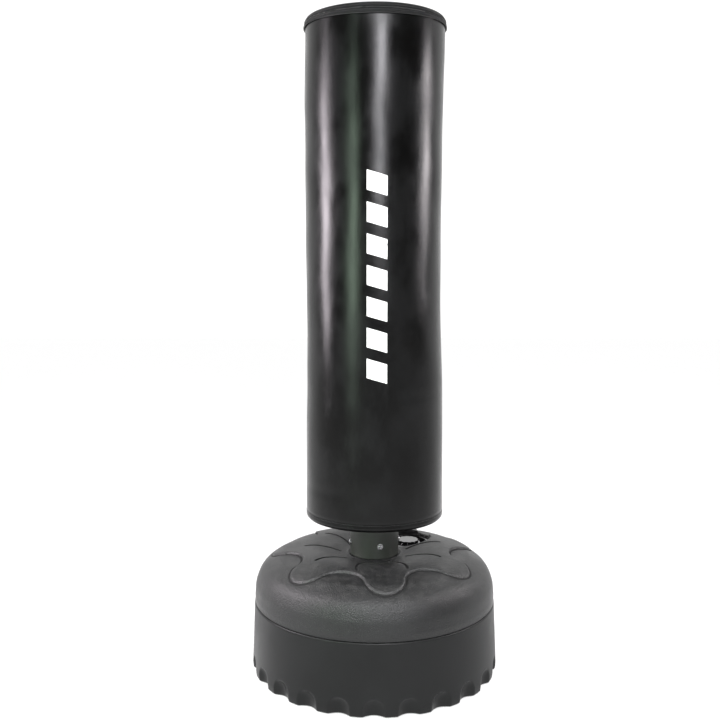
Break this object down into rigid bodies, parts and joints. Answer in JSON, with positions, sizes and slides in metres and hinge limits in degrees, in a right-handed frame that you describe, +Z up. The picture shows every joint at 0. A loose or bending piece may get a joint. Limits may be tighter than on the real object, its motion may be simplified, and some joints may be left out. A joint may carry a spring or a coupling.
{
  "type": "free-standing punching bag",
  "caption": "Tall padded punching bag that sways on a rubber buffer above a wide hollow base, filled with water or sand through a screw cap.",
  "frame": {"origin": "centre of the base's underside, on the floor", "axes": "+Z up along the bag, -Y towards the front, +X to the right seen from the front"},
  "size_m": [0.6586, 0.6586, 1.7],
  "materials": {
    "skirt_plastic": "smooth satin",
    "dome_plastic": "fine moulded grain",
    "filler_plastic": "smooth gloss",
    "seal_rubber": "smooth",
    "neck_paint": "satin powder coat",
    "zinc": "bright zinc plate",
    "plate_steel": "mill finish",
    "core_paint": "satin",
    "board_wood": "raw plywood",
    "inner_plastic": "moulded",
    "textile_fill": "packed textile",
    "foam": "closed-cell foam",
    "skin_leather": "semi-gloss coated leathercloth",
    "piping": "satin",
    "panel_fabric": "woven",
    "band_fabric": "satin woven",
    "zip_plastic": "moulded teeth",
    "buffer_rubber": "moulded",
    "zip_metal": "black enamel"
  },
  "bodies": {
    "base": {"base_lower_shell": "skirt_plastic", "base_upper_shell": "dome_plastic", "neck_spigot": "dome_plastic", "filler_well": "filler_plastic", "neck_tube": "neck_paint", "neck_screws": "zinc", "neck_washers": "zinc", "lower_mount_plate": "plate_steel", "buffer_lower_plate": "plate_steel", "buffer_lower_nut": "zinc"},
    "sway_buffer": {"rubber_buffer": "buffer_rubber"},
    "bag": {"buffer_upper_plate": "plate_steel", "buffer_upper_nut": "zinc", "upper_mount_plate": "plate_steel", "core_tube": "core_paint", "flange_bolts": "zinc", "flange_nuts": "zinc", "bottom_board": "board_wood", "core_end_cap": "inner_plastic", "top_board": "board_wood", "top_board_screws": "zinc", "inner_foam": "textile_fill", "outer_foam": "foam", "lower_foam_ring": "foam", "top_foam": "foam", "bag_skin": "skin_leather", "bottom_piping": "piping", "bottom_panel": "panel_fabric", "band_piping": "piping", "hem_band": "band_fabric", "zip_tape": "band_fabric", "zip_teeth": "zip_plastic", "lid_rim": "band_fabric", "lid_piping": "piping", "lid_panel": "band_fabric"},
    "cap_lift": {"filler_seal": "seal_rubber"},
    "cap": {"filler_cap": "filler_plastic"},
    "zip_slider": {"zip_slider": "zip_metal"},
    "zip_pull": {"zip_pull": "zip_metal"}
  },
  "joints": [
    {"name": "sway_sideways", "type": "hinge", "parent": "base", "child": "sway_buffer", "pos_m": [0, 0, 0.467], "axis": [0, 1, 0], "range_deg": [-6, 6], "stiffness_Nm_per_rad": 1200, "deforming": ["rubber_buffer"]},
    {"name": "sway_fore_aft", "type": "hinge", "parent": "sway_buffer", "child": "bag", "pos_m": [0, 0, 0.467], "axis": [1, 0, 0], "range_deg": [-6, 6], "stiffness_Nm_per_rad": 1200},
    {"name": "cap_rise", "type": "slide", "parent": "base", "child": "cap_lift", "axis": [0, 0, 1], "range_m": [0, 0.0081]},
    {"name": "cap_turn", "type": "hinge", "parent": "cap_lift", "child": "cap", "pos_m": [0.09501, 0.11085, 0.301], "axis": [0, 0, 1], "range_deg": [0, 720]},
    {"name": "zip_travel", "type": "hinge", "parent": "bag", "child": "zip_slider", "pos_m": [0, 0, 1.687], "axis": [0, 0, 1], "range_deg": [0, 300]},
    {"name": "zip_pull_swing", "type": "hinge", "parent": "zip_slider", "child": "zip_pull", "pos_m": [0, 0.1864, 1.687], "axis": [1, 0, 0], "range_deg": [0, 150]}
  ],
  "couplings": [
    {"joint": "cap_rise", "follows": "cap_turn", "m_per_rad": 0.00063662}
  ]
}
